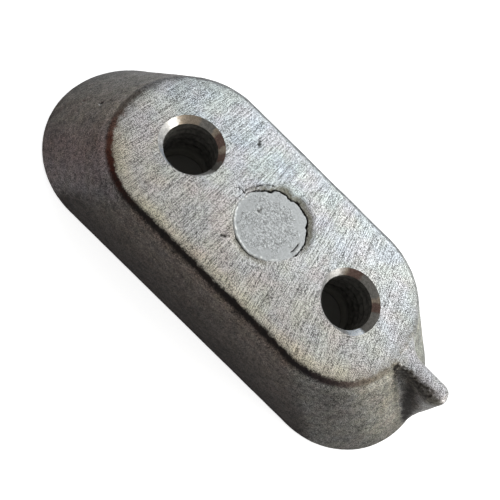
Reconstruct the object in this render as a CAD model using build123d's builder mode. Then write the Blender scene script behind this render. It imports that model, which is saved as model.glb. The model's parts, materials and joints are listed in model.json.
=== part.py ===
from build123d import *
import os

# Sacrificial anode: one casting, held by two screws through its machined face.
# Millimetres. X runs along the block, the large cast face is down and the
# machined mounting face is up. The origin is the middle of the large face.

# Block
height = 11.8
base_length = 65.2
base_width = 26.3
face_length = 44.2
face_width = 21.6
face_edge_radius = 1.6
base_edge_break = 0.3

# Tapped holes, M8: the bore is the thread's minor diameter
hole_pitch = 26.0
thread_bore = 6.7
mouth_diameter = 8.2
mouth_angle = 90.0
hole_depth = 9.0

# As-cast round mark between the holes, a little below the machined face
mark_diameter = 9.6
mark_depth = 0.2

# Lug left by the pouring gate, on the +X end wall
lug_reach = 7.65
lug_drop = 0.15
lug_offset = 0.2
lug_thickness = 2.75
lug_root_width = 5.2
lug_flare = 2.0
lug_foot_height = 0.6
lug_nose_radius = 1.25
lug_edge_radius = 1.15
nose_share = 0.95

# How deep the lug's hollow flanks start inside the end wall, and its root behind them
flank_overlap = 0.3
root_depth = 2.0

base_end = base_length / 2
face_end = face_length / 2
wall_slope = (base_end - face_end) / (height - base_edge_break)
lug_top = height - lug_drop

# The nose takes most of the half thickness, and the top rounding stays within the nose
nose_radius = min(lug_nose_radius, nose_share * lug_thickness / 2)
edge_radius = min(lug_edge_radius, nose_radius)


def wall_x(z):
    """Where the +X end wall stands at the height z."""
    return base_end - wall_slope * (z - base_edge_break)


def flared_plan(z):
    """Plan of the lug at the height z: a root in the wall and hollow flanks."""
    root = wall_x(z) - flank_overlap
    neck = root + lug_flare
    far = neck + lug_reach
    half = lug_thickness / 2
    root_half = lug_root_width / 2
    with BuildSketch(Plane.XY.offset(z)) as plan:
        with BuildLine():
            Line((root - root_depth, 0), (root - root_depth, root_half))
            Line((root - root_depth, root_half), (root, root_half))
            TangentArc((neck, half), (root, root_half), tangent=(-1, 0))
            Line((neck, half), (far, half))
            Line((far, half), (far, 0))
            mirror(about=Plane.XZ)
        make_face()
    return plan.sketch


with BuildPart() as lug:
    # Hollow flanks that run down the slope of the end wall
    loft([flared_plan(0).face(), flared_plan(lug_top).face()], ruled=True)
    # Side view: level top, steep front edge that dies into the wall at its foot
    with BuildSketch(Plane.XZ) as side:
        with BuildLine():
            Polyline(
                (wall_x(lug_top) - root_depth, lug_top),
                (face_end + lug_reach, lug_top),
                (wall_x(lug_foot_height), lug_foot_height),
                (wall_x(lug_foot_height) - root_depth, lug_foot_height),
                close=True,
            )
        make_face()
    extrude(amount=lug_root_width, both=True, mode=Mode.INTERSECT)
    # Round nose down the front edge, then one rounding around the whole top
    front = max(lug.faces(), key=lambda face: face.normal_at().X)
    fillet(front.edges().filter_by(Axis.Y, reverse=True), radius=nose_radius)
    top = lug.faces().sort_by(Axis.Z)[-1]
    back = top.edges().filter_by(Axis.Y).sort_by(Axis.X)[0]
    fillet(top.edges() - ShapeList([back]), radius=edge_radius)

with BuildPart() as anode_block:
    # Drafted body between the large cast face and the machined face, with the large
    # face's edge broken
    with BuildSketch(Plane.XY):
        SlotOverall(base_length - 2 * base_edge_break, base_width - 2 * base_edge_break)
    with BuildSketch(Plane.XY.offset(base_edge_break)):
        SlotOverall(base_length, base_width)
    with BuildSketch(Plane.XY.offset(height)):
        SlotOverall(face_length, face_width)
    loft(ruled=True)
    fillet(anode_block.faces().sort_by(Axis.Z)[-1].edges(), radius=face_edge_radius)
    with Locations((0, lug_offset, 0)):
        add(lug.part)
    # Tapped holes with a chamfered mouth
    with Locations(Plane.XY.offset(height)):
        with GridLocations(hole_pitch, 0, 2, 1):
            CounterSinkHole(
                radius=thread_bore / 2,
                counter_sink_radius=mouth_diameter / 2,
                depth=hole_depth,
                counter_sink_angle=mouth_angle,
            )
        Hole(mark_diameter / 2, depth=mark_depth)

os.makedirs("parts", exist_ok=True)
anode_block.part.label = "anode_block"
export_step(anode_block.part, "parts/anode_block.step")
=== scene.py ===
import json
import math

import bmesh
import bpy
import numpy as np
from mathutils import Euler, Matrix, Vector, noise


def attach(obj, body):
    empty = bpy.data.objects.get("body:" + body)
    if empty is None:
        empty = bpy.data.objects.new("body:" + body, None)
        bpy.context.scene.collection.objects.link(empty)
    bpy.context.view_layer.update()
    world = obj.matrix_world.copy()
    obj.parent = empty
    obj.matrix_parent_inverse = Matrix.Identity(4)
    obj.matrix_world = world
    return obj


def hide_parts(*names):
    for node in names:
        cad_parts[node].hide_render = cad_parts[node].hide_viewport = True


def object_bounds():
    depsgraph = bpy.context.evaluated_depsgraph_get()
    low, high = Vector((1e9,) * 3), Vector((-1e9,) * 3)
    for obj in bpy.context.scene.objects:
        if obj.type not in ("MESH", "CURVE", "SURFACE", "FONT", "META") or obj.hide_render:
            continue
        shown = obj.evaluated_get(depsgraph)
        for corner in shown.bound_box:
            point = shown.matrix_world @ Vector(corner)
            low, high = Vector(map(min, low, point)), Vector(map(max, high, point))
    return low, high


# Looks of a sacrificial anode: one light-alloy casting with a dark cast skin, a mounting
# face ground bright by hand, two tapped holes, a round pin mark and the gate's lug.
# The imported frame, the finished meshes and the studio are in metres. The casting's sizes,
# its shaping and every pattern in its materials are in millimetres.

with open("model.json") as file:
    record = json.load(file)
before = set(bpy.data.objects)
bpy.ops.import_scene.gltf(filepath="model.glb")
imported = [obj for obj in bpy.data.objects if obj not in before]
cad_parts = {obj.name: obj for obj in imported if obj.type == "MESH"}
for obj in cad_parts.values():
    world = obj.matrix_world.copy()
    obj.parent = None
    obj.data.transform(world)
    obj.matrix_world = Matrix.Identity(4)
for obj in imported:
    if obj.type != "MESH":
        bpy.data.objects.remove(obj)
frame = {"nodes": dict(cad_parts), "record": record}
cad_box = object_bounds()

MM = 0.001

# Block
TOP = cad_box[1].z / MM
FACE_HALF_LENGTH = 22.1
FACE_HALF_WIDTH = 10.8

# Tapped holes, M8, the one at -X first
HOLES = sorted(
    [value / MM for value in mount["pos_m"][:2]]
    for mount in frame["record"]["mounts"]
    if mount["kind"] == "threaded_hole"
)
BORE_RADIUS = 3.35
MOUTH_RADIUS = 4.1
THREAD_PITCH = 1.25
THREAD_DEPTH = 0.55
THREAD_START = 0.75
THREAD_END = 6.0
THREAD_FADE_IN = 0.9
THREAD_FADE_OUT = 0.8
HOLE_DEPTH = 9.0

# Where each chamfer is narrowest, in degrees from +X, and by how much
MOUTH_NARROWEST = (-72, -118)
MOUTH_SHIFT = 0.30

# Half width of the thread's flat root, and where its flank ends, as shares of the pitch
THREAD_ROOT = 0.06
THREAD_FLANK = 0.42

# Round pin mark in the middle of the face
MARK_RADIUS = 4.8
MARK_DEPTH = 0.2
MARK_REACH = 6.4

# Torn edge of the pin mark, followed round the ring:
# angle in degrees, radius, depth and half width
EDGE_RADIUS, EDGE_DEPTH, EDGE_WIDTH = 1, 2, 3
TORN_EDGE = (
    (-17, 4.62, 0.02, 0.07),
    (-8, 4.70, 0.20, 0.08),
    (12, 4.68, 0.24, 0.085),
    (22, 4.60, 0.32, 0.11),
    (40, 4.53, 0.34, 0.13),
    (50, 4.63, 0.34, 0.14),
    (57, 4.80, 0.34, 0.15),
    (64, 4.65, 0.36, 0.17),
    (84, 4.60, 0.36, 0.17),
    (90, 4.36, 0.34, 0.14),
    (94, 4.10, 0.34, 0.16),
    (99, 4.14, 0.34, 0.17),
    (104, 4.42, 0.34, 0.18),
    (118, 4.44, 0.30, 0.14),
    (125, 4.30, 0.26, 0.13),
    (131, 4.04, 0.26, 0.13),
    (142, 4.12, 0.24, 0.12),
    (154, 4.32, 0.20, 0.11),
    (165, 4.46, 0.10, 0.09),
    (182, 4.62, 0.05, 0.09),
    (215, 4.60, 0.07, 0.08),
    (240, 4.66, 0.11, 0.11),
    (262, 4.76, 0.13, 0.14),
    (278, 4.74, 0.10, 0.14),
    (300, 4.66, 0.05, 0.11),
    (330, 4.58, 0.02, 0.08),
)

# Share of the ledge outside the torn edge, and of the raised lip inside it, by angle
LEDGE = ((-12, 0.0), (14, 0.5), (28, 1.0), (112, 1.0), (125, 0.5), (160, 0.2), (180, 0.0),
         (240, 0.0), (254, 0.45), (296, 0.45), (316, 0.0))
LIP = ((160, 0.0), (176, 1.0), (300, 0.8), (335, 0.35), (346, 0.0))

# Pits and small knocks in the skin: x, y and z of the middle, radius and depth
PITS = (
    (-8.12, 7.00, TOP, 0.36, 0.08),
    (-7.90, 6.76, TOP, 0.40, 0.13),
    (-7.68, 6.52, TOP, 0.36, 0.09),
    (-3.08, -5.52, TOP, 0.34, 0.11),
    (-2.80, -5.24, TOP, 0.36, 0.13),
    (-2.50, -4.96, TOP, 0.28, 0.06),
    (-2.10, 0.45, TOP, 0.32, 0.07),
    (-2.12, 0.08, TOP, 0.40, 0.09),
    (-10.30, -7.60, TOP, 0.22, 0.07),
    (-3.45, -0.70, TOP, 0.18, 0.04),
    (0.35, 1.15, TOP, 0.20, 0.04),
    (2.85, 6.40, TOP, 0.18, 0.06),
    (14.65, 7.55, TOP, 0.36, 0.05),
    (-18.60, 1.15, TOP, 0.18, 0.05),
    (21.40, 2.20, TOP, 0.22, 0.07),
    (-25.10, -2.60, 8.20, 0.42, 0.22),
    (-28.10, -2.60, 4.80, 0.30, 0.10),
    (-17.80, -9.00, 9.00, 0.25, 0.10),
)

# Gate lug on the +X end: its middle and the crease beside it, as y, how often it is
# smoothed, and how far its near flank and its ridge leave the plain form
LUG_OFFSET = 0.2
LUG_CREASE = -2.15
LUG_SMOOTHINGS = 20
SCOOP_DEPTH = 0.50
SWELL_HEIGHT = 0.32
RIDGE_WEAR = 0.10

# Where the lug's bright ridge meets the painted shade on its near side, as x and y
RIDGE_LINE = ((20.5, -2.60), (22.0, -1.70), (24.0, -0.95), (26.0, -0.98), (29.5, -1.05))

# Unevenness of the cast skin: depth, size of the lumps and a seed
CAST_LUMPS = ((0.070, 5.0, 1.0), (0.045, 1.3, 5.0), (0.022, 0.6, 9.0))

# Slight waves of the ground face, long across the block
WAVE_DEPTH = 0.010
WAVE_STRETCH = (1.0, 0.35, 1.0)

# The mesh is a grid of about 0.26 mm. It is halved in the fine ring round the pin mark and
# in the upper thread, and once more in the finest ring. SHARP_ANGLE is in degrees
GRID_DEPTH = 8
GRID_FILL = 0.99
FINE_RING = (3.75, 5.65)
FINEST_RING = (3.90, 5.10)
FINE_THREAD_END = 5.0
SHARP_ANGLE = 38

# Columns of the wear_and_painted_light attribute: dirt and painted shade, olive stain and painted
# shade, bright polish and painted highlights
DIRT_AND_SHADE, STAIN_AND_SHADE, POLISH_AND_HIGHLIGHT = range(3)


# Shaping the casting

def lumps(points, size, seed):
    """Smooth noise from -1 to 1 at each point, with lumps of about the given size."""
    scaled = points / size + seed
    return np.array([noise.noise(Vector(point)) for point in scaled])


def ramp(values, start, end):
    """0 before start, 1 after end, smooth between. The two may be given in either order."""
    share = np.clip((values - start) / (end - start), 0, 1)
    return share * share * (3 - 2 * share)


def bump(distance, width):
    """A round bump: 1 at no distance, gone at the width."""
    return 1 - ramp(np.abs(distance), 0, width)


def by_angle(angle, rows, column=1):
    """A value that follows rows of angle and value round a ring."""
    return np.interp(angle, [row[0] for row in rows], [row[column] for row in rows], period=360)


def face_margin(points):
    """How far inside the sharp outline of the machined face each point lies."""
    straight = FACE_HALF_LENGTH - FACE_HALF_WIDTH
    past = np.maximum(np.abs(points[:, 0]) - straight, 0)
    return FACE_HALF_WIDTH - np.hypot(past, points[:, 1])


def closed_skin(node):
    """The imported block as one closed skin, with its round mark levelled for recutting."""
    shape = bmesh.new()
    shape.from_mesh(node.data)
    for vertex in shape.verts:
        radius = math.hypot(vertex.co.x, vertex.co.y) / MM
        below = TOP - vertex.co.z / MM
        if radius < MARK_RADIUS + 0.05 and 0 < below < MARK_DEPTH + 0.05:
            vertex.co.z = TOP * MM
    bmesh.ops.remove_doubles(shape, verts=shape.verts, dist=1e-7)
    mesh = bpy.data.meshes.new("anode_casting")
    shape.to_mesh(mesh)
    shape.free()
    return mesh


def even_grid(mesh):
    """The same skin as an even grid of small quads that keeps its sharp edges."""
    blank = bpy.data.objects.new("blank", mesh)
    bpy.context.scene.collection.objects.link(blank)
    grid = blank.modifiers.new("grid", "REMESH")
    grid.mode = "SHARP"
    grid.octree_depth = GRID_DEPTH
    grid.scale = GRID_FILL
    grid.use_remove_disconnected = False
    depsgraph = bpy.context.evaluated_depsgraph_get()
    even = bpy.data.meshes.new_from_object(blank.evaluated_get(depsgraph))
    bpy.data.objects.remove(blank)
    return even


def coarsen_underside(shape):
    """Joins the small quads of the flat underside, which has no fine detail."""
    flat = [
        vertex for vertex in shape.verts if vertex.co.z < 0.01 * MM and vertex.normal.z < -0.999
    ]
    bmesh.ops.unsubdivide(shape, verts=flat, iterations=4)


def refine(shape, wanted):
    """Halves the grid on the faces whose middle is wanted."""
    centres = np.array([face.calc_center_median() for face in shape.faces]) / MM
    chosen = np.flatnonzero(wanted(centres))
    shape.faces.ensure_lookup_table()
    edges = {edge for index in chosen for edge in shape.faces[index].edges}
    bmesh.ops.subdivide_edges(shape, edges=list(edges), cuts=1, use_grid_fill=True)


def near_mark(points, ring=FINE_RING):
    """Which points of the face lie in a ring round the pin mark."""
    radius = np.hypot(points[:, 0], points[:, 1])
    return (points[:, 2] > TOP - 0.3) & (radius > ring[0]) & (radius < ring[1])


def near_torn_edge(points):
    """Which points of the face lie at the pin mark's torn edge."""
    return near_mark(points, FINEST_RING)


def near_pits(points):
    """Which points lie in a pit or close round it."""
    wanted = np.zeros(len(points), bool)
    for *middle, radius, _ in PITS:
        wanted |= np.linalg.norm(points - np.array(middle), axis=1) < radius + 0.25
    return wanted


def in_bores(points):
    """Which points lie on the upper thread, which light reaches."""
    wanted = np.zeros(len(points), bool)
    for x, y in HOLES:
        radius = np.hypot(points[:, 0] - x, points[:, 1] - y)
        deep = (points[:, 2] < TOP - THREAD_START) & (points[:, 2] > TOP - FINE_THREAD_END)
        wanted |= (radius < BORE_RADIUS + 0.1) & deep
    return wanted


def on_lug(points):
    """Which points lie on the lug or on the end wall close beside it."""
    across = np.abs(points[:, 1] - LUG_OFFSET)
    return (points[:, 0] > FACE_HALF_LENGTH - 1.2) & (across < 3.3) & (points[:, 2] > 1.5)


def shape_mark(points, wear_and_painted_light):
    """Recuts the pin mark: a level disc, a torn crevice with its ledge, a lip and burrs."""
    radius = np.hypot(points[:, 0], points[:, 1])
    here = np.flatnonzero((radius < MARK_REACH) & (points[:, 2] > TOP - 0.05))
    place, radius = points[here], radius[here]
    angle = np.degrees(np.arctan2(place[:, 1], place[:, 0]))
    turn = angle % 360
    wander = 0.11 * lumps(place, 0.80, 3.0) + 0.08 * lumps(place, 0.30, 8.0)
    rough = np.clip(0.5 + 0.9 * lumps(place, 0.30, 20.0), 0, 1)
    broken = np.clip(0.55 + 1.6 * lumps(place, 0.35, 50.0), 0, 1)
    edge = radius - by_angle(turn, TORN_EDGE, EDGE_RADIUS) - wander
    depth = by_angle(turn, TORN_EDGE, EDGE_DEPTH)
    half_width = 1.3 * by_angle(turn, TORN_EDGE, EDGE_WIDTH)
    crack = bump(edge - 0.03, half_width * (0.75 + 0.5 * broken))
    inside = 1 - ramp(edge, -0.05, 0.05)
    ledge = by_angle(turn, LEDGE) * ramp(edge, -0.02, 0.06) * (1 - ramp(edge, 0.25, 1.15))
    lip = by_angle(turn, LIP) * bump(edge + 0.15, 0.24) * (0.1 + 0.9 * broken)

    # Folded burrs: a sliver beside +X, one tongue near the top and a strip at the far left
    sliver = bump(radius - 4.40, 0.22) * bump(angle + 1, 12)
    inner_line = bump(radius - 4.10 - wander, 0.13) * (1 - ramp(np.abs(angle + 1), 8, 14))
    tongue = bump(angle - 95, 8) * bump(radius - 4.46, 0.34)
    strip_share = ramp(turn, 121, 130) * (1 - ramp(turn, 168, 178))
    strip = strip_share * ramp(edge, 0.0, 0.15) * (1 - ramp(radius, 4.80, 4.95))
    second = bump(radius - 4.98 - 1.5 * wander, 0.18) * strip_share * (0.35 + 0.65 * broken)
    split = bump(place[:, 1] - 0.50 - 1.5 * wander, 0.15) * ramp(-place[:, 0], 4.6, 4.8)
    split = split * (1 - ramp(-place[:, 0], 5.7, 6.0))

    height = -0.05 * inside - 0.24 * ledge * (0.8 + 0.4 * rough) - depth * crack + 0.07 * lip
    height += 0.13 * rough * (sliver + tongue + strip)
    height -= 0.14 * inner_line + 0.12 * second + 0.08 * split
    points[here, 2] += np.minimum(height, 0.02)

    # Painted shade in the crevice, the fine dark lines and the ledge beside them, olive stain with
    # painted shade on the ledge, and painted highlights on the lip and burrs
    dirt = crack * ramp(depth, 0.0, 0.20) + 0.9 * inner_line + second + 0.8 * split
    dirt = dirt + 0.45 * ledge * (1 - ramp(edge, 0.1, 0.55))
    stain = ledge * (1.0 + 0.6 * (1 - rough)) + 0.5 * strip * (1 - rough)
    shine = lip * (0.3 + 0.9 * rough) + 0.8 * (sliver + tongue + 0.5 * strip) * rough
    wear_and_painted_light[here, DIRT_AND_SHADE] = np.clip(dirt, 0, 1)
    wear_and_painted_light[here, STAIN_AND_SHADE] = np.clip(stain, 0, 1)
    wear_and_painted_light[here, POLISH_AND_HIGHLIGHT] = np.clip(shine, 0, 1)


def cut_threads(points):
    """Cuts the M8 thread outwards from each bore, with its turns fading in and out."""
    for x, y in HOLES:
        across, along = points[:, 0] - x, points[:, 1] - y
        radius = np.hypot(across, along)
        below = TOP - points[:, 2]
        wall = (np.abs(radius - BORE_RADIUS) < 0.06) & (below > THREAD_START - 0.05)
        wall &= below < HOLE_DEPTH - 0.1
        turn = np.arctan2(along, across) / (2 * math.pi)
        phase = (below / THREAD_PITCH - turn) % 1.0
        flank = 1 - ramp(np.abs(phase - 0.5), THREAD_ROOT, THREAD_FLANK)
        depth = THREAD_DEPTH * flank * ramp(below, THREAD_START, THREAD_START + THREAD_FADE_IN)
        depth *= 1 - ramp(below, THREAD_END, THREAD_END + THREAD_FADE_OUT)
        grown = (radius + depth) / np.maximum(radius, 1e-6)
        points[wall, 0] = x + (across * grown)[wall]
        points[wall, 1] = y + (along * grown)[wall]


def shift_mouths(points):
    """Narrows each chamfer on its near side: the mouths were cut a little off centre."""
    for (x, y), narrowest in zip(HOLES, MOUTH_NARROWEST):
        across, along = points[:, 0] - x, points[:, 1] - y
        radius = np.hypot(across, along)
        turn = np.arctan2(along, across) - math.radians(narrowest)
        share = ramp(radius, BORE_RADIUS, MOUTH_RADIUS)
        share = share * (1 - ramp(radius, MOUTH_RADIUS, MOUTH_RADIUS + 0.9))
        share = share * ramp(np.cos(turn), 0.25, 0.90) * (points[:, 2] > TOP - THREAD_START - 0.1)
        grown = (radius - MOUTH_SHIFT * share) / np.maximum(radius, 1e-6)
        points[:, 0] = x + across * grown
        points[:, 1] = y + along * grown


def weather(points, normals):
    """Gives the skin its cast unevenness and the ground face its slight waves."""
    margin = face_margin(points)
    on_face = ramp(margin, 0.2, 1.8) * ramp(points[:, 2], TOP - 0.6, TOP - 0.1)
    in_holes = np.zeros(len(points))
    for x, y in HOLES:
        radius = np.hypot(points[:, 0] - x, points[:, 1] - y)
        in_holes = np.maximum(in_holes, 1 - ramp(radius, MOUTH_RADIUS + 0.02, MOUTH_RADIUS + 0.4))
    base = 1 - ramp(points[:, 2], 0.0, 0.6)
    cast = np.zeros(len(points))
    for deepest, size, seed in CAST_LUMPS:
        cast -= deepest * (0.5 + 0.5 * lumps(points, size, seed))
    waves = -WAVE_DEPTH * (1 + lumps(points * WAVE_STRETCH, 1.2, 13.0))
    depth = (1 - on_face) * cast * (1 - 0.7 * base) + on_face * waves
    points += normals * (depth * (1 - in_holes))[:, None]


def dent(points, normals, wear_and_painted_light):
    """Sinks the pits and knocks, darker at the bottom, with a painted highlight on the near edge."""
    for x, y, z, radius, depth in PITS:
        away = np.linalg.norm(points - np.array((x, y, z)), axis=1)
        here = np.flatnonzero(away < radius * 1.6)
        uneven = 1 + 0.35 * lumps(points[here], radius * 0.8, 31.0)
        sunk = bump(away[here], radius * uneven)
        points[here] -= normals[here] * (depth * sunk)[:, None]
        dirt = ramp(sunk, 0.05, 0.70) * min(1.0, depth * 6)
        wear_and_painted_light[here, DIRT_AND_SHADE] = np.maximum(wear_and_painted_light[here, DIRT_AND_SHADE], dirt)
        edge = bump(away[here] - radius * 0.95, radius * 0.4)
        edge = edge * ramp(points[here, 1] - y, 0.0, -radius)
        wear_and_painted_light[here, POLISH_AND_HIGHLIGHT] = np.maximum(wear_and_painted_light[here, POLISH_AND_HIGHLIGHT], edge * min(1.0, depth * 5))


def soften_lug(shape):
    """Softens the lug's edges and the crease beside it, as a casting has them."""
    points = np.array([vertex.co for vertex in shape.verts]) / MM
    chosen = on_lug(points) & (points[:, 0] > FACE_HALF_LENGTH + 0.4)
    shape.verts.ensure_lookup_table()
    soft = [shape.verts[index] for index in np.flatnonzero(chosen)]
    for _ in range(LUG_SMOOTHINGS):
        bmesh.ops.smooth_vert(
            shape, verts=soft, factor=0.5, use_axis_x=True, use_axis_y=True, use_axis_z=True
        )


def carve_lug(points, normals, wear_and_painted_light):
    """Scoops the near flank of the lug, wears its ridge bright, and paints shade under it and down its
    flank.
    """
    here = np.flatnonzero((points[:, 0] > 18.5) & (points[:, 1] > -5) & (points[:, 1] < 9))
    x, y, z = points[here].T
    rough = np.clip(0.5 + 0.8 * lumps(points[here], 0.7, 40.0), 0, 1)
    gritty = np.clip(0.5 + 0.9 * lumps(points[here], 0.3, 60.0), 0, 1)
    wander = 0.35 * (rough - 0.5)
    edge = y - np.interp(x, *zip(*RIDGE_LINE)) + wander + 0.25 * (gritty - 0.5)
    lug_share = ramp(x, 21.0, 22.3) * ramp(y, -2.6, -2.0) * (1 - ramp(y, 2.4, 3.2))

    # A scoop in the flank, with a soft crease where it meets the end wall, and a swell
    side = y + wander + 0.15 * (gritty - 0.5)
    flank = ramp(side, LUG_CREASE - 0.20, LUG_CREASE + 0.50) * (1 - ramp(y, -0.7, -0.3))
    flank = flank * (1 - ramp(z, 10.2, 11.3)) * ramp(z, 0.2, 1.5)
    hollow = np.exp(-((x - 22.9 - 0.65 * (11.0 - z)) / 1.5) ** 2)
    points[here] -= normals[here] * (flank * SCOOP_DEPTH * hollow)[:, None]
    along = x + 0.70 * (z - 9.8)
    swell = ramp(along, 26.4, 28.2) * (1 - ramp(y, -0.7, 0.4))
    swell = swell * (1 - ramp(z, 10.9, 11.5)) * ramp(z, 1.0, 3.0)
    swell = swell * (1 - 0.6 * ramp(x, 28.6, 29.6))
    points[here] += normals[here] * (SWELL_HEIGHT * swell)[:, None]

    # Lumpy worn ridge
    crest = ramp(z, 10.6, 11.3) * lug_share
    points[here] -= normals[here] * (crest * RIDGE_WEAR * rough)[:, None]

    # Bright ridge, and painted shade in a band beside it that turns olive at the nose
    bright = ramp(edge, -0.15, 0.75) * ramp(z, 10.3, 11.0) * (1 - 0.15 * ramp(x, 22.6, 24.6))
    band = lug_share * (1 - ramp(edge, -0.10, 0.65)) * ramp(z, 8.9, 10.3) * ramp(x, 21.3, 22.2)
    nose = ramp(x, 27.7, 28.6) * ramp(z, 9.0, 10.2) * band
    band_shade = band * (0.98 - 0.52 * gritty) * (1 - 0.8 * nose * gritty)

    # Painted shadow streak down the flank, painted light beside it and painted shade in the crease
    streak = flank * np.exp(-((along - 25.7) / 0.8) ** 2) * (1 - ramp(z, 8.8, 10.2))
    pale = flank * (0.10 + 0.28 * ramp(along, 26.5, 27.8))
    pale = np.maximum(pale, 0.50 * flank * (1 - ramp(side, -1.85, -1.35)))
    shade = 0.36 * bump(side - LUG_CREASE + 0.25, 0.55) * ramp(x, 22.8, 23.6)

    dirt = np.maximum(np.maximum(band_shade, streak * (0.75 + 0.5 * rough)), shade)
    stain = band * (0.60 + 0.40 * nose)
    shine = np.maximum(lug_share * bright * (0.75 + 0.35 * rough + 0.2 * gritty), pale)
    wear_and_painted_light[here, DIRT_AND_SHADE] = np.maximum(wear_and_painted_light[here, DIRT_AND_SHADE], np.clip(dirt, 0, 1))
    wear_and_painted_light[here, STAIN_AND_SHADE] = np.maximum(wear_and_painted_light[here, STAIN_AND_SHADE], np.clip(stain, 0, 1))
    wear_and_painted_light[here, POLISH_AND_HIGHLIGHT] = np.maximum(wear_and_painted_light[here, POLISH_AND_HIGHLIGHT], shine)


def make_casting():
    """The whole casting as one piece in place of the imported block."""
    mesh = even_grid(closed_skin(frame["nodes"]["anode_block"]))
    shape = bmesh.new()
    shape.from_mesh(mesh)
    coarsen_underside(shape)
    for part in (near_mark, near_torn_edge, in_bores, on_lug, near_pits, near_pits):
        refine(shape, part)
    soften_lug(shape)
    shape.normal_update()
    points = np.array([vertex.co for vertex in shape.verts]) / MM
    normals = np.array([vertex.normal for vertex in shape.verts])
    wear_and_painted_light = np.zeros((len(points), 4))
    weather(points, normals)
    shape_mark(points, wear_and_painted_light)
    cut_threads(points)
    shift_mouths(points)
    carve_lug(points, normals, wear_and_painted_light)
    dent(points, normals, wear_and_painted_light)
    for vertex, place in zip(shape.verts, points * MM):
        vertex.co = place
    for face in shape.faces:
        face.smooth = True
    shape.to_mesh(mesh)
    shape.free()
    mesh.set_sharp_from_angle(angle=math.radians(SHARP_ANGLE))
    worn_and_lit = mesh.attributes.new("wear_and_painted_light", "FLOAT_COLOR", "POINT")
    worn_and_lit.data.foreach_set("color", wear_and_painted_light.ravel())
    casting = bpy.data.objects.new("anode_casting", mesh)
    bpy.context.scene.collection.objects.link(casting)
    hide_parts("anode_block")
    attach(casting, "root")
    return casting


# Studio

# Camera: place in metres, turn in degrees, sensor and lens in millimetres
CAMERA_PLACE = (-0.000191, -0.027810, 0.063914)
CAMERA_TURN = (16.194, -15.920, 42.164)
CAMERA_SENSOR = 36.0
CAMERA_LENS = 36.0
CAMERA_SHIFT = (0.02218, 0.01964)

SKY_LIGHT = 0.45
FLOOR_GLOW = 0.70
FLOOR_COLOUR = (0.7, 0.7, 0.7, 1)
FLOOR_HALF_SIZE = 1.5


def place_camera():
    """The photograph's viewpoint: close above the near side, looking down."""
    data = bpy.data.cameras.new("camera")
    data.sensor_width = CAMERA_SENSOR
    data.lens = CAMERA_LENS
    data.shift_x, data.shift_y = CAMERA_SHIFT
    data.clip_start = 0.001
    camera = bpy.data.objects.new("camera", data)
    camera.location = CAMERA_PLACE
    camera.rotation_euler = Euler([math.radians(angle) for angle in CAMERA_TURN])
    bpy.context.scene.collection.objects.link(camera)
    bpy.context.scene.camera = camera


def lamp(name, azimuth, elevation, distance, size, power, colour):
    """A square soft lamp that faces the block. Azimuth 0 is at +X and 90 at +Y."""
    turn, rise = math.radians(azimuth), math.radians(elevation)
    level = math.cos(rise)
    place = distance * Vector((math.cos(turn) * level, math.sin(turn) * level, math.sin(rise)))
    data = bpy.data.lights.new(name, "AREA")
    data.size = size
    data.energy = power
    data.color = colour
    light = bpy.data.objects.new(name, data)
    light.location = place
    light.rotation_euler = (-place).to_track_quat("-Z", "Y").to_euler()
    bpy.context.scene.collection.objects.link(light)


def feed(tree, node, name, value):
    """Links a socket to a node's input, or sets the input to a plain value."""
    if isinstance(value, bpy.types.NodeSocket):
        tree.links.new(value, node.inputs[name])
    else:
        node.inputs[name].default_value = value


def shader_node(tree, kind, inputs=None, **settings):
    """Adds a shader node and sets its properties. Inputs are values or sockets to link."""
    made = tree.nodes.new("ShaderNode" + kind)
    for name, value in settings.items():
        setattr(made, name, value)
    for name, value in (inputs or {}).items():
        feed(tree, made, name, value)
    return made


def pale_backdrop_share(tree):
    """1 for what the camera and shiny surfaces see directly, else 0."""
    path = shader_node(tree, "LightPath")
    seen = path.outputs["Is Camera Ray"]
    for name in ("Is Glossy Ray", "Is Transmission Ray"):
        either = shader_node(tree, "Math", {0: seen, 1: path.outputs[name]}, operation="MAXIMUM")
        seen = either.outputs[0]
    return seen


def make_sky():
    """A white sky that gives soft light all round."""
    world = bpy.data.worlds.new("studio")
    bpy.context.scene.world = world
    world.use_nodes = True
    tree = world.node_tree
    tree.nodes.clear()
    seen = pale_backdrop_share(tree)
    strength = shader_node(tree, "MapRange", {"Value": seen, "To Min": SKY_LIGHT, "To Max": 1.0})
    sky = shader_node(tree, "Background", {"Color": (1, 1, 1, 1), "Strength": strength.outputs[0]})
    shader_node(tree, "OutputWorld", {"Surface": sky.outputs[0]})


def make_floor():
    """A pale floor that keeps the block's shadow and melts into the sky."""
    sheet = bmesh.new()
    bmesh.ops.create_grid(sheet, x_segments=1, y_segments=1, size=FLOOR_HALF_SIZE)
    mesh = bpy.data.meshes.new("floor")
    sheet.to_mesh(mesh)
    sheet.free()
    floor = bpy.data.objects.new("floor", mesh)
    bpy.context.scene.collection.objects.link(floor)
    material = bpy.data.materials.new("pale floor")
    material.use_nodes = True
    tree = material.node_tree
    tree.nodes.clear()
    seen = pale_backdrop_share(tree)
    lift = shader_node(tree, "Math", {0: seen, 1: FLOOR_GLOW}, operation="MULTIPLY")
    card = shader_node(tree, "BsdfDiffuse", {"Color": FLOOR_COLOUR})
    glow = shader_node(tree, "Emission", {"Strength": lift.outputs[0]})
    both = shader_node(tree, "AddShader", {0: card.outputs[0], 1: glow.outputs[0]})
    shader_node(tree, "OutputMaterial", {"Surface": both.outputs[0]})
    mesh.materials.append(material)


def make_studio():
    """Sky, floor, a large lamp at the far side and a small one at the lug's end."""
    make_sky()
    make_floor()
    lamp(
        "far_lamp", azimuth=75, elevation=38, distance=0.60, size=0.55, power=2.1,
        colour=(0.93, 0.97, 1.0),
    )
    lamp(
        "end_lamp", azimuth=10, elevation=20, distance=0.50, size=0.25, power=1.2,
        colour=(1.0, 0.98, 0.94),
    )


# Steps shared by the finishes and their shader groups. Places are in millimetres.

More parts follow.
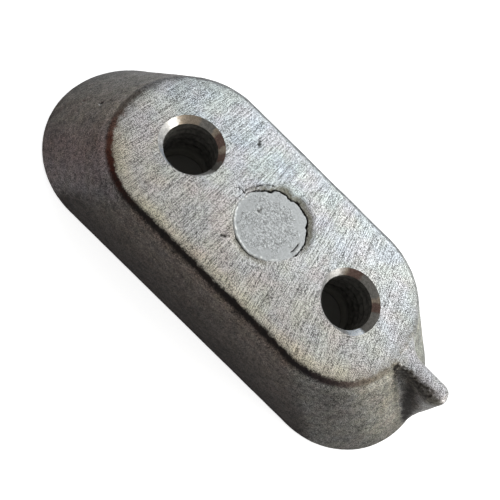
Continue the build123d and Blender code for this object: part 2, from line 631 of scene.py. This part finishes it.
def maths(tree, operation, first, second=0.0):
    """One maths step on sockets or numbers."""
    return shader_node(tree, "Math", {0: first, 1: second}, operation=operation).outputs[0]


def product(tree, first, second):
    """Two sockets or numbers multiplied."""
    return maths(tree, "MULTIPLY", first, second)


def fade(tree, value, start, end, low=0.0, high=1.0):
    """low at start, high at end and smooth between. start may be above end."""
    inputs = {"Value": value, "From Min": start, "From Max": end, "To Min": low, "To Max": high}
    return shader_node(tree, "MapRange", inputs, interpolation_type="SMOOTHSTEP").outputs[0]


# A Mix node takes its numbers at the sockets 2 and 3, and its colours at 6 and 7

def mix_values(tree, share, first, second):
    """The first value at a share of 0, the second at 1."""
    return shader_node(tree, "Mix", {0: share, 2: first, 3: second}, data_type="FLOAT").outputs[0]


def mix_colours(tree, share, first, second, blend="MIX"):
    """The first colour at a share of 0, the second, or its blend with the first, at 1."""
    inputs = {0: share, 6: first, 7: second}
    return shader_node(tree, "Mix", inputs, data_type="RGBA", blend_type=blend).outputs[2]


def tinted(tree, share, colour, tint):
    """A colour multiplied by a tint as far as the share says."""
    return mix_colours(tree, share, colour, tint, "MULTIPLY")


def scale_colour(tree, colour, level):
    """A colour made darker or lighter by a value."""
    grey = shader_node(tree, "CombineColor", {0: level, 1: level, 2: level}).outputs[0]
    return tinted(tree, 1.0, colour, grey)


def texture_noise(tree, vector, size, detail=2.0, roughness=0.5):
    """Noise from about 0.2 to 0.8, with lumps of about the given size."""
    inputs = {"Vector": vector, "Scale": 1 / size, "Detail": detail, "Roughness": roughness}
    return shader_node(tree, "TexNoise", inputs).outputs[0]


def shifted(tree, place, seed):
    """The same place moved aside, so that a pattern doesn't repeat another."""
    moved = {0: place, 1: (seed, seed, seed)}
    return shader_node(tree, "VectorMath", moved, operation="ADD").outputs[0]


def patchy_tints(tree, place, colour, size, detail, roughness, start):
    """A colour with faint reddish, bluish and olive patches of about the given size."""
    for tint, seed in TINTS:
        patches = texture_noise(tree, shifted(tree, place, seed), size, detail, roughness)
        colour = tinted(tree, fade(tree, patches, start, 0.65), colour, tint)
    return colour


def face_margin_at(tree, place):
    """How far inside the outline of the machined face a place lies."""
    axes = shader_node(tree, "SeparateXYZ", {0: place}).outputs
    along = maths(tree, "ABSOLUTE", axes["X"])
    past = maths(tree, "MAXIMUM", maths(tree, "SUBTRACT", along, FACE_HALF_LENGTH - FACE_HALF_WIDTH))
    reach = shader_node(tree, "CombineXYZ", {"X": past, "Y": axes["Y"]}).outputs[0]
    length = shader_node(tree, "VectorMath", {0: reach}, operation="LENGTH").outputs["Value"]
    return maths(tree, "SUBTRACT", FACE_HALF_WIDTH, length)


def turn_share(tree, angle):
    """0 to 1 for an angle of -180 to 180 degrees, given in radians."""
    inputs = {"Value": angle, "From Min": -math.pi, "From Max": math.pi}
    return shader_node(tree, "MapRange", inputs).outputs[0]


def ring_tones(tree, angle, tones):
    """A colour and a share that follow rows of angle in degrees, -180 to 180, and values."""
    made = shader_node(tree, "ValToRGB", {0: turn_share(tree, angle)})
    steps = made.color_ramp.elements
    while len(steps) < len(tones):
        steps.new(1.0)
    for step, (degrees, values) in zip(steps, tones):
        step.position = (degrees + 180) / 360
        step.color = values if len(values) == 4 else (*values, 0)
    return made.outputs["Color"], made.outputs["Alpha"]


def new_group(name, inputs, outputs):
    """An empty shader group with the named sockets, and its two end nodes."""
    tree = bpy.data.node_groups.new(name, "ShaderNodeTree")
    for label, kind in inputs.items():
        tree.interface.new_socket(label, in_out="INPUT", socket_type=kind)
    for label, kind in outputs.items():
        tree.interface.new_socket(label, in_out="OUTPUT", socket_type=kind)
    return tree, tree.nodes.new("NodeGroupInput"), tree.nodes.new("NodeGroupOutput")


def use_group(tree, group, inputs):
    """Places a group in a tree. Gives back its outputs by name."""
    return shader_node(tree, "Group", inputs, node_tree=group).outputs


def make_marks_group():
    """Fine parallel marks left by grinding, from 0 to 1."""
    inputs = {
        "Place": "NodeSocketVector",
        "Turn": "NodeSocketFloat",
        "Width": "NodeSocketFloat",
        "Length": "NodeSocketFloat",
        "Seed": "NodeSocketFloat",
    }
    tree, start, end = new_group("grinding marks", inputs, {"Marks": "NodeSocketFloat"})
    turned = shader_node(
        tree,
        "VectorRotate",
        {"Vector": start.outputs["Place"], "Angle": start.outputs["Turn"]},
        rotation_type="Z_AXIS",
    ).outputs[0]
    cell = shader_node(
        tree,
        "CombineXYZ",
        {"X": start.outputs["Width"], "Y": start.outputs["Length"], "Z": start.outputs["Width"]},
    ).outputs[0]
    scaled = shader_node(tree, "VectorMath", {0: turned, 1: cell}, operation="DIVIDE").outputs[0]
    shift = shader_node(tree, "CombineXYZ", {"Z": start.outputs["Seed"]}).outputs[0]
    moved = shader_node(tree, "VectorMath", {0: scaled, 1: shift}, operation="ADD").outputs[0]
    marks = texture_noise(tree, moved, 1.0, detail=1.5, roughness=0.6)
    tree.links.new(marks, end.inputs["Marks"])
    return tree


MARKS = make_marks_group()

GROUND_DULL = (0.075, 0.073, 0.070, 1)
GROUND_BRIGHT = (0.720, 0.720, 0.710, 1)
GROUND_GLINT = (0.80, 0.80, 0.79, 1)
GROUND_PIT = (0.055, 0.052, 0.048, 1)

# Grinding passes: turn in radians, width and length of the marks, and a seed
GRINDING_PASSES = ((0.0, 0.065, 5.0, 1.0), (-0.10, 0.07, 2.5, 7.0), (0.9, 0.07, 0.4, 15.0))

# Faint reddish, bluish and olive tints of the metal, each with a seed
TINTS = (
    ((1.035, 0.98, 0.98, 1), 3.0),
    ((0.975, 1.00, 1.035, 1), 11.0),
    ((1.00, 1.01, 0.95, 1), 23.0),
)


def make_ground_group():
    """Hand-ground metal: crossing scratches, sparkle and small pits, with slight tints."""
    outputs = {"Colour": "NodeSocketColor", "Height": "NodeSocketFloat", "Tone": "NodeSocketFloat"}
    tree, start, end = new_group("ground metal", {"Place": "NodeSocketVector"}, outputs)
    place = start.outputs["Place"]
    along = shader_node(tree, "SeparateXYZ", {0: place}).outputs["X"]
    lean = fade(tree, along, -18.0, 18.0, 0.12, -0.26)
    passes = []
    for turn, width, length, seed in GRINDING_PASSES:
        turn = maths(tree, "ADD", lean, turn)
        inputs = {"Place": place, "Turn": turn, "Width": width, "Length": length, "Seed": seed}
        passes.append(fade(tree, use_group(tree, MARKS, inputs)["Marks"], 0.34, 0.66))
    scratches = mix_values(tree, 0.45, passes[0], passes[1])
    scratches = mix_values(tree, 0.10, scratches, passes[2])
    sparkle = fade(tree, texture_noise(tree, place, 0.105, detail=0.0), 0.38, 0.62)
    mottle = fade(tree, texture_noise(tree, place, 0.45, detail=1.0), 0.3, 0.7)
    tone = mix_values(tree, 0.46, scratches, sparkle)
    tone = mix_values(tree, 0.05, tone, mottle)
    tone = fade(tree, tone, 0.10, 0.90)
    colour = mix_colours(tree, tone, GROUND_DULL, GROUND_BRIGHT)
    long_marks = {"Place": place, "Turn": lean, "Width": 0.09, "Length": 1.8, "Seed": 31.0}
    glint = fade(tree, use_group(tree, MARKS, long_marks)["Marks"], 0.58, 0.68)
    colour = mix_colours(tree, product(tree, glint, 0.55), colour, GROUND_GLINT)
    colour = patchy_tints(tree, place, colour, size=3.2, detail=1.0, roughness=0.5, start=0.42)
    pits = fade(tree, texture_noise(tree, place, 0.28, detail=1.0), 0.68, 0.76)
    colour = mix_colours(tree, product(tree, pits, 0.4), colour, GROUND_PIT)
    height = maths(tree, "SUBTRACT", tone, product(tree, pits, 0.8))
    tree.links.new(colour, end.inputs["Colour"])
    tree.links.new(height, end.inputs["Height"])
    tree.links.new(tone, end.inputs["Tone"])
    return tree


# Near black for dirt and painted shade, olive for stain and painted shade, and bright metal for polish
# and painted highlights on the pin mark
GRIME_AND_SHADE = (0.0075, 0.0052, 0.0038, 1)
OLIVE = (0.135, 0.128, 0.098, 1)
POLISHED_AND_HIGHLIGHT = (0.60, 0.60, 0.57, 1)


def make_wear_and_light_group():
    """Adds what the mesh's wear_and_painted_light attribute holds: dirt and painted shade, olive stain
    and painted shade, bright polish and painted highlights.
    """
    outputs = {"Colour": "NodeSocketColor", "Dirt and shade": "NodeSocketFloat", "Polish and highlight": "NodeSocketFloat"}
    inputs = {"Place": "NodeSocketVector", "Colour": "NodeSocketColor", "Bright": "NodeSocketColor"}
    tree, start, end = new_group("dirt, stain, polish and painted light", inputs, outputs)
    layers = shader_node(tree, "Attribute", attribute_name="wear_and_painted_light").outputs["Color"]
    layers = shader_node(tree, "SeparateColor", {0: layers}).outputs
    grit = texture_noise(tree, start.outputs["Place"], 0.22, detail=2.0, roughness=0.6)
    grit = fade(tree, grit, 0.3, 0.7, -0.18, 0.18)
    shares = []
    for layer in layers:
        present = fade(tree, layer, 0.02, 0.25)
        uneven = maths(tree, "ADD", layer, product(tree, grit, present))
        shares.append(fade(tree, uneven, 0.0, 1.0))
    colour = mix_colours(tree, shares[POLISH_AND_HIGHLIGHT], start.outputs["Colour"], start.outputs["Bright"])
    colour = mix_colours(tree, product(tree, shares[STAIN_AND_SHADE], 0.85), colour, OLIVE)
    colour = mix_colours(tree, shares[DIRT_AND_SHADE], colour, GRIME_AND_SHADE)
    tree.links.new(colour, end.inputs["Colour"])
    tree.links.new(shares[DIRT_AND_SHADE], end.inputs["Dirt and shade"])
    tree.links.new(shares[POLISH_AND_HIGHLIGHT], end.inputs["Polish and highlight"])
    return tree


def make_grain_group():
    """Pebbled skin of a casting: a height, and a change of tone."""
    outputs = {"Height": "NodeSocketFloat", "Tone": "NodeSocketFloat"}
    tree, start, end = new_group("cast grain", {"Place": "NodeSocketVector"}, outputs)
    place = start.outputs["Place"]
    coarse = texture_noise(tree, place, 0.55, detail=2.0, roughness=0.55)
    fine = texture_noise(tree, place, 0.12, detail=1.0, roughness=0.5)
    broad = texture_noise(tree, place, 3.0, detail=4.0, roughness=0.6)
    height = maths(tree, "ADD", product(tree, coarse, 0.9), fine)
    tone = mix_values(tree, 0.35, fade(tree, fine, 0.42, 0.58), fade(tree, coarse, 0.38, 0.62))
    tone = mix_values(tree, 0.16, tone, fade(tree, broad, 0.3, 0.7))
    tree.links.new(height, end.inputs["Height"])
    tree.links.new(tone, end.inputs["Tone"])
    return tree


GROUND = make_ground_group()
WEAR_AND_LIGHT_GROUP = make_wear_and_light_group()
GRAIN = make_grain_group()


# Finishes

# Colour of the cast skin with painted light and shade by the way it faces, darkest towards -Y, in
# degrees from +X
SKIN_AND_SHADE_TONES = (
    (-180, (0.082, 0.074, 0.066)),
    (-165, (0.089, 0.076, 0.063)),
    (-150, (0.078, 0.063, 0.056)),
    (-135, (0.088, 0.064, 0.060)),
    (-120, (0.086, 0.070, 0.070)),
    (-105, (0.088, 0.078, 0.078)),
    (-95, (0.060, 0.052, 0.047)),
    (-90, (0.057, 0.046, 0.039)),
    (-85, (0.060, 0.053, 0.047)),
    (-75, (0.076, 0.072, 0.066)),
    (-60, (0.068, 0.065, 0.060)),
    (-45, (0.095, 0.090, 0.082)),
    (-30, (0.170, 0.165, 0.142)),
    (-15, (0.218, 0.205, 0.172)),
    (15, (0.211, 0.216, 0.187)),
    (60, (0.190, 0.190, 0.170)),
    (90, (0.105, 0.100, 0.095)),
    (150, (0.086, 0.080, 0.077)),
    (165, (0.082, 0.078, 0.072)),
    (180, (0.082, 0.074, 0.066)),
)

# Colour of the line on the rounded edge of the face by the way it faces: a painted dark reflection on
# the near side, lighter on the far side, reddish brown towards the left
RIM_AND_REFLECTION_TONES = (
    (-180, (0.075, 0.066, 0.058)),
    (-165, (0.062, 0.050, 0.040)),
    (-150, (0.088, 0.045, 0.033)),
    (-135, (0.052, 0.017, 0.010)),
    (-120, (0.026, 0.006, 0.003)),
    (-105, (0.013, 0.004, 0.002)),
    (-90, (0.005, 0.0035, 0.003)),
    (-75, (0.005, 0.0030, 0.003)),
    (-60, (0.022, 0.014, 0.013)),
    (-45, (0.070, 0.052, 0.044)),
    (-30, (0.150, 0.125, 0.095)),
    (-15, (0.225, 0.205, 0.165)),
    (30, (0.250, 0.255, 0.245)),
    (60, (0.300, 0.305, 0.290)),
    (90, (0.200, 0.210, 0.215)),
    (150, (0.120, 0.120, 0.120)),
    (165, (0.140, 0.140, 0.142)),
    (180, (0.075, 0.066, 0.058)),
)

# Painted warm and cool light on the ground face: at its near edge, on its near part and at its far left
EDGE_WARM_LIGHT = (1.07, 1.02, 0.90, 1)
NEAR_WARM_LIGHT = (1.02, 0.99, 0.945, 1)
FAR_COOL_LIGHT = (0.95, 1.01, 1.05, 1)

# Painted shade of the walls towards their foot, on the near side and everywhere else
NEAR_FOOT_SHADE = (0.12, 0.08, 0.06, 1)
END_FOOT_SHADE = (0.50, 0.50, 0.51, 1)


def new_finish(name, specular):
    """A new material with its node tree, its shader and the place in millimetres."""
    material = bpy.data.materials.new(name)
    material.use_nodes = True
    tree = material.node_tree
    shader = tree.nodes["Principled BSDF"]
    shader.inputs["Specular IOR Level"].default_value = specular
    scaled = {0: shader_node(tree, "TexCoord").outputs["Object"], "Scale": 1 / MM}
    place = shader_node(tree, "VectorMath", scaled, operation="SCALE").outputs[0]
    return material, tree, shader, place


def set_surface(tree, shader, colour, metallic, roughness, height, depth):
    """Connects a finish to its shader. depth is the relief's depth in millimetres."""
    relief = {"Height": height, "Distance": depth * MM, "Strength": 1.0}
    normal = shader_node(tree, "Bump", relief).outputs[0]
    feed(tree, shader, "Base Color", colour)
    feed(tree, shader, "Metallic", metallic)
    feed(tree, shader, "Roughness", roughness)
    feed(tree, shader, "Normal", normal)


def ground_face(tree, place, margin):
    """Ground metal with painted light: darker towards the near side and the right, warm along the near
    edge and the near part, cool at the far left.
    """
    axes = shader_node(tree, "SeparateXYZ", {0: place}).outputs
    ground = use_group(tree, GROUND, {"Place": place})
    level = fade(tree, axes["Y"], -9.0, 8.0, 0.60, 0.81)
    level = product(tree, level, fade(tree, axes["X"], -14.0, 14.0, 1.04, 0.955))
    colour = scale_colour(tree, ground["Colour"], level)
    colour = tinted(tree, fade(tree, axes["Y"], 2.0, -7.0), colour, NEAR_WARM_LIGHT)
    warm = product(tree, fade(tree, margin, 2.8, 1.5), fade(tree, axes["Y"], -4.0, -8.5))
    colour = tinted(tree, warm, colour, EDGE_WARM_LIGHT)
    cool = fade(tree, axes["X"], 10.0, -8.0, 0.5, 1.0)
    cool = product(tree, cool, fade(tree, axes["Y"], -3.0, 5.0))
    return tinted(tree, cool, colour, FAR_COOL_LIGHT), ground["Height"], ground["Tone"]


def cast_skin(tree, place, angle, below, tone):
    """Cast skin with painted light and shade by the way it faces, painted shade towards the foot and a
    painted highlight just below the face.
    """
    skin = ring_tones(tree, angle, SKIN_AND_SHADE_TONES)[0]
    skin = scale_colour(tree, skin, mix_values(tree, tone, 0.12, 1.88))
    skin = patchy_tints(tree, place, skin, size=2.0, detail=3.0, roughness=0.6, start=0.45)
    off_near = maths(tree, "ABSOLUTE", maths(tree, "ADD", angle, math.pi / 2))
    near_foot_shade = product(tree, fade(tree, off_near, 0.40, 0.14), fade(tree, below, 0.8, 11.0))
    end_foot_shade = product(tree, fade(tree, off_near, 0.5, 1.0), fade(tree, below, 5.5, 12.0))
    skin = tinted(tree, near_foot_shade, skin, NEAR_FOOT_SHADE)
    skin = tinted(tree, end_foot_shade, skin, END_FOOT_SHADE)
    specks = texture_noise(tree, shifted(tree, place, 17.0), 0.16, detail=1.0)
    skin = scale_colour(tree, skin, fade(tree, specks, 0.54, 0.70, 0.98, 2.0))
    highlight_line = product(tree, fade(tree, below, 0.45, 0.75), fade(tree, below, 2.0, 1.2))
    return scale_colour(tree, skin, fade(tree, highlight_line, 0.0, 1.0, 1.0, 1.35))


def rim_and_walls(tree, place, facing, margin, below):
    """Shares of all that lies past the ground face, and of the walls below the edge's line."""
    wander = texture_noise(tree, place, 0.6, detail=4.0, roughness=0.75)
    wander = product(tree, maths(tree, "SUBTRACT", wander, 0.5), 0.48)
    wander = product(tree, wander, fade(tree, below, 0.0, 0.25, 0.30, 1.0))
    depth = product(tree, maths(tree, "ADD", below, wander), fade(tree, margin, 2.2, 1.7))
    far = fade(tree, facing["Y"], 0.0, 0.25)
    depth = maths(tree, "SUBTRACT", depth, product(tree, far, 0.10))
    rim = fade(tree, depth, 0.0, 0.15)
    along = shader_node(tree, "SeparateXYZ", {0: place}).outputs["X"]
    lug_share = fade(tree, along, 22.8, 23.4)
    return rim, maths(tree, "MAXIMUM", fade(tree, depth, 0.30, 0.62), lug_share)


def make_casting_finish():
    """Ground face, worn edge with a rim line of painted reflection, dark on the near side, and the dull
    skin of the walls.
    """
    material, tree, shader, place = new_finish("ground and cast alloy", 0.10)
    normal = shader_node(tree, "TexCoord").outputs["Normal"]
    facing = shader_node(tree, "SeparateXYZ", {0: normal}).outputs
    angle = maths(tree, "ARCTAN2", facing["Y"], facing["X"])
    margin = face_margin_at(tree, place)
    below = maths(tree, "SUBTRACT", TOP, shader_node(tree, "SeparateXYZ", {0: place}).outputs["Z"])
    ground, ground_height, tone = ground_face(tree, place, margin)
    grain = use_group(tree, GRAIN, {"Place": place})
    skin = cast_skin(tree, place, angle, below, grain["Tone"])
    rim, walls = rim_and_walls(tree, place, facing, margin, below)
    line = ring_tones(tree, angle, RIM_AND_REFLECTION_TONES)[0]
    line = scale_colour(tree, line, mix_values(tree, grain["Tone"], 0.3, 1.7))
    colour = mix_colours(tree, rim, ground, mix_colours(tree, walls, line, skin))

    worn_and_lit = use_group(tree, WEAR_AND_LIGHT_GROUP, {"Place": place, "Colour": colour, "Bright": ground})
    metallic = mix_values(tree, rim, 0.92, mix_values(tree, walls, 0.15, 0.4))
    metallic = mix_values(tree, worn_and_lit["Polish and highlight"], metallic, 0.8)
    metallic = mix_values(tree, worn_and_lit["Dirt and shade"], metallic, 0.1)
    dull = mix_values(tree, grain["Tone"], 0.66, 0.50)
    roughness = mix_values(tree, rim, mix_values(tree, tone, 0.46, 0.32), dull)
    roughness = mix_values(tree, worn_and_lit["Polish and highlight"], roughness, 0.44)
    height = mix_values(tree, rim, product(tree, ground_height, 0.45), grain["Height"])
    set_surface(tree, shader, worn_and_lit["Colour"], metallic, roughness, height, 0.035)
    return material


MARK_METAL = (0.290, 0.298, 0.296, 1)
MARK_DARK = (0.085, 0.083, 0.075, 1)


def make_mark_finish():
    """Pin mark: smoother metal, fretted in the middle, with painted shade along its torn edge."""
    material, tree, shader, place = new_finish("pin mark", 0.3)
    flat = shader_node(tree, "VectorMath", {0: place, 1: (1, 1, 0)}, operation="MULTIPLY").outputs[0]
    radius = shader_node(tree, "VectorMath", {0: flat}, operation="LENGTH").outputs["Value"]
    uneven = fade(tree, texture_noise(tree, place, 1.1), 0.3, 0.7, -0.9, 0.9)
    fretted = fade(tree, maths(tree, "ADD", radius, uneven), 3.7, 2.9)
    grit = texture_noise(tree, place, 0.10, detail=1.0)
    lumpy = texture_noise(tree, place, 0.30, detail=2.0)
    grain = mix_values(tree, 0.4, fade(tree, grit, 0.36, 0.64), fade(tree, lumpy, 0.36, 0.64))
    low = mix_values(tree, fretted, 0.86, 0.50)
    high = mix_values(tree, fretted, 1.12, 1.50)
    metal = scale_colour(tree, MARK_METAL, mix_values(tree, grain, low, high))
    specks = fade(tree, texture_noise(tree, shifted(tree, place, 5.0), 0.20, detail=1.0), 0.66, 0.76)
    cells = shader_node(tree, "TexVoronoi", {"Vector": place, "Scale": 1.9}, feature="DISTANCE_TO_EDGE")
    cracks = product(tree, fade(tree, cells.outputs[0], 0.07, 0.0), fretted)
    cracks = product(tree, cracks, fade(tree, texture_noise(tree, place, 0.6), 0.50, 0.58))
    cracks = maths(tree, "MAXIMUM", cracks, product(tree, specks, fretted))
    metal = mix_colours(tree, product(tree, cracks, 0.65), metal, MARK_DARK)
    worn_and_lit = use_group(tree, WEAR_AND_LIGHT_GROUP, {"Place": place, "Colour": metal, "Bright": POLISHED_AND_HIGHLIGHT})
    metallic = mix_values(tree, worn_and_lit["Dirt and shade"], 0.85, 0.1)
    height = maths(tree, "SUBTRACT", product(tree, grain, fretted), cracks)
    roughness = mix_values(tree, grain, 0.50, 0.38)
    set_surface(tree, shader, worn_and_lit["Colour"], metallic, roughness, height, 0.020)
    return material


# Colours round the two chamfered mouths, by angle from +X: turned metal, and painted reflections and
# highlights in browns, greys, tan and cool white. The part with a share of 1 is scratched like the
# face.
REFLECTED_BROWN = (0.085, 0.055, 0.045)
REFLECTED_GREY = (0.115, 0.110, 0.100)
REFLECTED_TAN = (0.175, 0.145, 0.112)
TURNED = (0.50, 0.49, 0.47)
COOL_HIGHLIGHT = (0.85, 0.92, 1.00)
LIKE_FACE = (0.66, 0.65, 0.63, 1)
REFLECTED_LIGHT_GREY = (0.36, 0.355, 0.345)
FIRST_MOUTH = (
    (-180, TURNED), (-158, TURNED), (-150, REFLECTED_LIGHT_GREY), (-138, LIKE_FACE), (-124, COOL_HIGHLIGHT),
    (-92, COOL_HIGHLIGHT), (-84, LIKE_FACE), (-24, LIKE_FACE), (0, REFLECTED_GREY), (16, REFLECTED_GREY),
    (22, REFLECTED_BROWN), (38, REFLECTED_BROWN), (42, REFLECTED_TAN), (50, REFLECTED_TAN), (53, REFLECTED_BROWN),
    (76, REFLECTED_BROWN), (80, REFLECTED_TAN), (86, REFLECTED_TAN), (90, REFLECTED_GREY), (114, REFLECTED_GREY),
    (120, REFLECTED_TAN), (154, REFLECTED_TAN), (166, REFLECTED_LIGHT_GREY), (169, TURNED), (180, TURNED),
)
SECOND_MOUTH = (
    (-180, LIKE_FACE), (-60, LIKE_FACE), (-50, COOL_HIGHLIGHT), (-28, COOL_HIGHLIGHT),
    (-20, REFLECTED_GREY), (22, REFLECTED_GREY), (26, REFLECTED_BROWN), (40, REFLECTED_BROWN), (43, REFLECTED_TAN),
    (50, REFLECTED_TAN), (55, REFLECTED_GREY), (96, REFLECTED_GREY), (102, REFLECTED_BROWN), (124, REFLECTED_BROWN),
    (132, REFLECTED_TAN), (150, REFLECTED_LIGHT_GREY), (172, REFLECTED_LIGHT_GREY), (180, LIKE_FACE),
)
SCRATCHED_DULL = (0.55, 0.54, 0.53, 1)
SCRATCHED_BRIGHT = (1.0, 1.0, 0.98, 1)


def make_mouth_finish():
    """Chamfered mouths: turned bright on one side, with painted reflections on the other."""
    material, tree, shader, place = new_finish("turned mouth", 0.4)
    axes = shader_node(tree, "SeparateXYZ", {0: place}).outputs
    side = maths(tree, "SIGN", axes["X"])
    along = maths(tree, "SUBTRACT", axes["X"], product(tree, side, HOLES[1][0]))
    angle = maths(tree, "ARCTAN2", axes["Y"], along)
    uneven = maths(tree, "SUBTRACT", texture_noise(tree, place, 0.5, detail=2.0), 0.5)
    angle = maths(tree, "ADD", angle, product(tree, uneven, 0.30))
    first, first_ground = ring_tones(tree, angle, FIRST_MOUTH)
    second, second_ground = ring_tones(tree, angle, SECOND_MOUTH)
    to_second = fade(tree, axes["X"], -1.0, 1.0)
    colour = mix_colours(tree, to_second, first, second)
    scratched = mix_values(tree, to_second, first_ground, second_ground)
    tone = use_group(tree, GROUND, {"Place": place})["Tone"]
    ground = mix_colours(tree, tone, SCRATCHED_DULL, SCRATCHED_BRIGHT)
    colour = mix_colours(tree, scratched, colour, ground)
    turned = texture_noise(tree, place, 0.12, detail=2.0)
    grit = texture_noise(tree, place, 0.35, detail=2.0)
    colour = scale_colour(tree, colour, fade(tree, turned, 0.3, 0.7, 0.78, 1.22))
    colour = scale_colour(tree, colour, fade(tree, grit, 0.3, 0.7, 0.85, 1.15))
    roughness = mix_values(tree, turned, 0.25, 0.45)
    set_surface(tree, shader, colour, 0.85, roughness, turned, 0.012)
    return material


BORE_DARK = (0.042, 0.040, 0.035, 1)
BORE_LIGHT = (0.082, 0.078, 0.068, 1)
BORE_FOOT_PAINTED_LIGHT = (0.28, 0.27, 0.24, 1)
BORE_FLOOR_PAINTED_LIGHT = (0.16, 0.155, 0.14, 1)


def make_bore_finish():
    """Tapped bores, dark with old grease and dirt, with painted light below the thread and on the
    floor.
    """
    material, tree, shader, place = new_finish("tapped bore", 0.15)
    axes = shader_node(tree, "SeparateXYZ", {0: place}).outputs
    below = maths(tree, "SUBTRACT", TOP, axes["Z"])
    dirt = texture_noise(tree, place, 0.5, detail=3.0)
    colour = mix_colours(tree, fade(tree, dirt, 0.3, 0.7), BORE_DARK, BORE_LIGHT)
    colour = mix_colours(tree, fade(tree, below, 6.2, 7.6), colour, BORE_FOOT_PAINTED_LIGHT)
    on_floor = fade(tree, below, HOLE_DEPTH - 0.4, HOLE_DEPTH - 0.1)
    colour = mix_colours(tree, on_floor, colour, BORE_FLOOR_PAINTED_LIGHT)
    set_surface(tree, shader, colour, 0.1, 0.7, dirt, 0.02)
    return material


# Places of the finishes in the casting's list of materials
CASTING, MARK, MOUTH, BORE = range(4)


def finish_casting(casting):
    """Gives each face of the casting its finish by where it lies."""
    for make in (make_casting_finish, make_mark_finish, make_mouth_finish, make_bore_finish):
        casting.data.materials.append(make())
    centres = np.array([face.center for face in casting.data.polygons]) / MM
    kinds = np.full(len(centres), CASTING)
    radius = np.hypot(centres[:, 0], centres[:, 1])
    turn = np.degrees(np.arctan2(centres[:, 1], centres[:, 0])) % 360
    in_mark = radius < by_angle(turn, TORN_EDGE, EDGE_RADIUS)
    kinds[in_mark & (centres[:, 2] > TOP - 0.8)] = MARK
    for x, y in HOLES:
        radius = np.hypot(centres[:, 0] - x, centres[:, 1] - y)
        below = TOP - centres[:, 2]
        inside = (radius < MOUTH_RADIUS) & (below < HOLE_DEPTH + 0.1)
        kinds[inside & (below > 0.03)] = MOUTH
        kinds[inside & (below > THREAD_START)] = BORE
    casting.data.polygons.foreach_set("material_index", kinds.astype(np.int32))


bpy.context.scene.view_settings.view_transform = "Standard"
place_camera()
make_studio()
finish_casting(make_casting())
